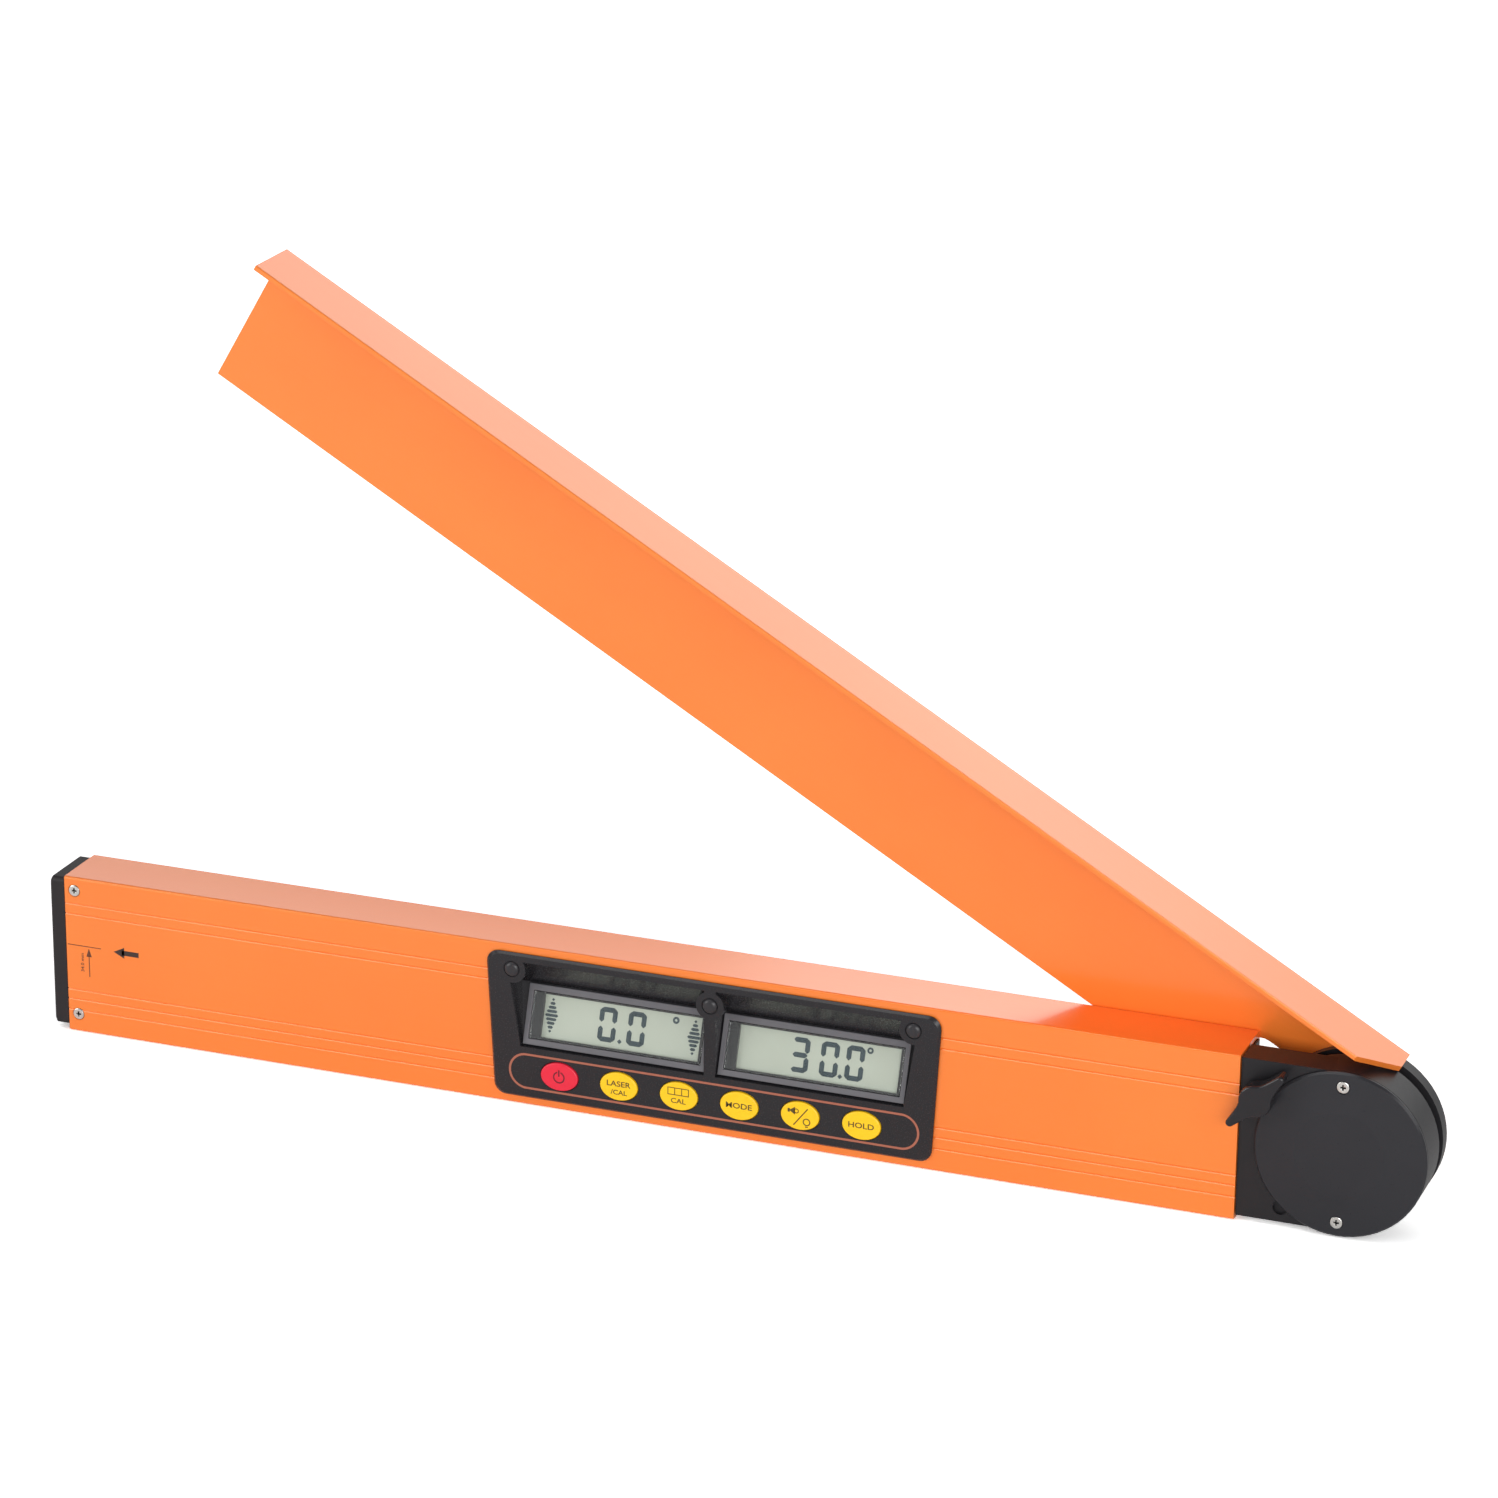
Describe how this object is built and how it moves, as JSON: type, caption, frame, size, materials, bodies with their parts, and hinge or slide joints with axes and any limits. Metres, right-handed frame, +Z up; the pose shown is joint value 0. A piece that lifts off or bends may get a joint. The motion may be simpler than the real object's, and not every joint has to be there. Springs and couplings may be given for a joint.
{
  "type": "angle finder with arms",
  "caption": "Electronic angle finder with an orange aluminium base and a hinged arm, sloping displays, oval keys, a line laser and a locking lever",
  "frame": {"origin": "middle of the base's flat bottom measuring face", "axes": "+X runs along the base from the laser end to the hinge end, +Y runs from the display face to the back, +Z is up from the bottom measuring face"},
  "size_m": [0.5104, 0.0345, 0.2942],
  "materials": {
    "anodised": "orange anodised, fine extrusion lines",
    "black_plastic": "black moulded ABS, fine texture",
    "cell_sleeve": "plain printed sleeve",
    "window": "clear acrylic",
    "display": "reflective display glass",
    "red_rubber": "silicone rubber, satin",
    "yellow_rubber": "silicone rubber, satin",
    "circuit_board": "green solder mask",
    "wire": "vinyl insulation",
    "brass": "turned",
    "steel": "zinc plated",
    "fibre": "pressed fibre"
  },
  "bodies": {
    "base": {"base_profile": "anodised", "end_cap": "black_plastic", "display_bezel": "black_plastic", "frame_left": "black_plastic", "frame_right": "black_plastic", "panel_plug_left": "black_plastic", "panel_plug_middle": "black_plastic", "panel_plug_right": "black_plastic", "hinge_housing": "black_plastic", "hinge_cover": "black_plastic", "battery_tray": "black_plastic", "battery_upper": "cell_sleeve", "battery_lower": "cell_sleeve", "buzzer": "black_plastic", "window_left": "window", "window_right": "window", "laser_window": "window", "display_left": "display", "display_right": "display", "main_board": "circuit_board", "encoder_board": "circuit_board", "encoder_ribbon": "wire", "laser_lead": "wire", "battery_lead": "wire", "laser_module": "brass", "pivot_bush": "brass", "contact_bridge": "steel", "contact_positive": "steel", "contact_negative": "steel", "tilt_sensor": "steel", "board_screw_1": "steel", "board_screw_2": "steel", "board_screw_3": "steel", "board_screw_4": "steel", "end_cap_screw_upper": "steel", "end_cap_screw_lower": "steel", "housing_screw_upper": "steel", "housing_screw_lower": "steel", "hinge_cover_screw_upper": "steel", "hinge_cover_screw_lower": "steel"},
    "arm": {"arm_profile": "anodised", "hub_disc": "black_plastic", "brake_ring": "steel", "arm_screw_1": "steel", "arm_screw_2": "steel", "arm_screw_3": "steel", "pivot_shaft": "steel", "shaft_nut": "steel", "code_disc": "steel", "friction_washer": "fibre"},
    "lock": {"lock_lever": "black_plastic", "lock_spindle": "steel"},
    "door": {"battery_door": "black_plastic"},
    "power_key_cap": {"power_key": "red_rubber"},
    "laser_key_cap": {"laser_key": "yellow_rubber"},
    "calibrate_key_cap": {"calibrate_key": "yellow_rubber"},
    "mode_key_cap": {"mode_key": "yellow_rubber"},
    "sound_key_cap": {"sound_key": "yellow_rubber"},
    "hold_key_cap": {"hold_key": "yellow_rubber"}
  },
  "joints": [
    {"name": "arm_hinge", "type": "hinge", "parent": "base", "child": "arm", "pos_m": [0.255, 0, 0.03], "axis": [0, 1, 0], "range_deg": [-30, 190]},
    {"name": "lock_turn", "type": "hinge", "parent": "base", "child": "lock", "pos_m": [0.2269, 0, 0.0475], "axis": [0, 1, 0], "range_deg": [0, 90]},
    {"name": "door_lift", "type": "slide", "parent": "base", "child": "door", "axis": [0, 1, 0], "range_m": [0, 0.01]},
    {"name": "power_key_press", "type": "slide", "parent": "base", "child": "power_key_cap", "axis": [0, 1, 0], "range_m": [0, 0.0007], "stiffness_N_per_m": 800, "springref_m": -0.0005},
    {"name": "laser_key_press", "type": "slide", "parent": "base", "child": "laser_key_cap", "axis": [0, 1, 0], "range_m": [0, 0.0007], "stiffness_N_per_m": 800, "springref_m": -0.0005},
    {"name": "calibrate_key_press", "type": "slide", "parent": "base", "child": "calibrate_key_cap", "axis": [0, 1, 0], "range_m": [0, 0.0007], "stiffness_N_per_m": 800, "springref_m": -0.0005},
    {"name": "mode_key_press", "type": "slide", "parent": "base", "child": "mode_key_cap", "axis": [0, 1, 0], "range_m": [0, 0.0007], "stiffness_N_per_m": 800, "springref_m": -0.0005},
    {"name": "sound_key_press", "type": "slide", "parent": "base", "child": "sound_key_cap", "axis": [0, 1, 0], "range_m": [0, 0.0007], "stiffness_N_per_m": 800, "springref_m": -0.0005},
    {"name": "hold_key_press", "type": "slide", "parent": "base", "child": "hold_key_cap", "axis": [0, 1, 0], "range_m": [0, 0.0007], "stiffness_N_per_m": 800, "springref_m": -0.0005}
  ]
}
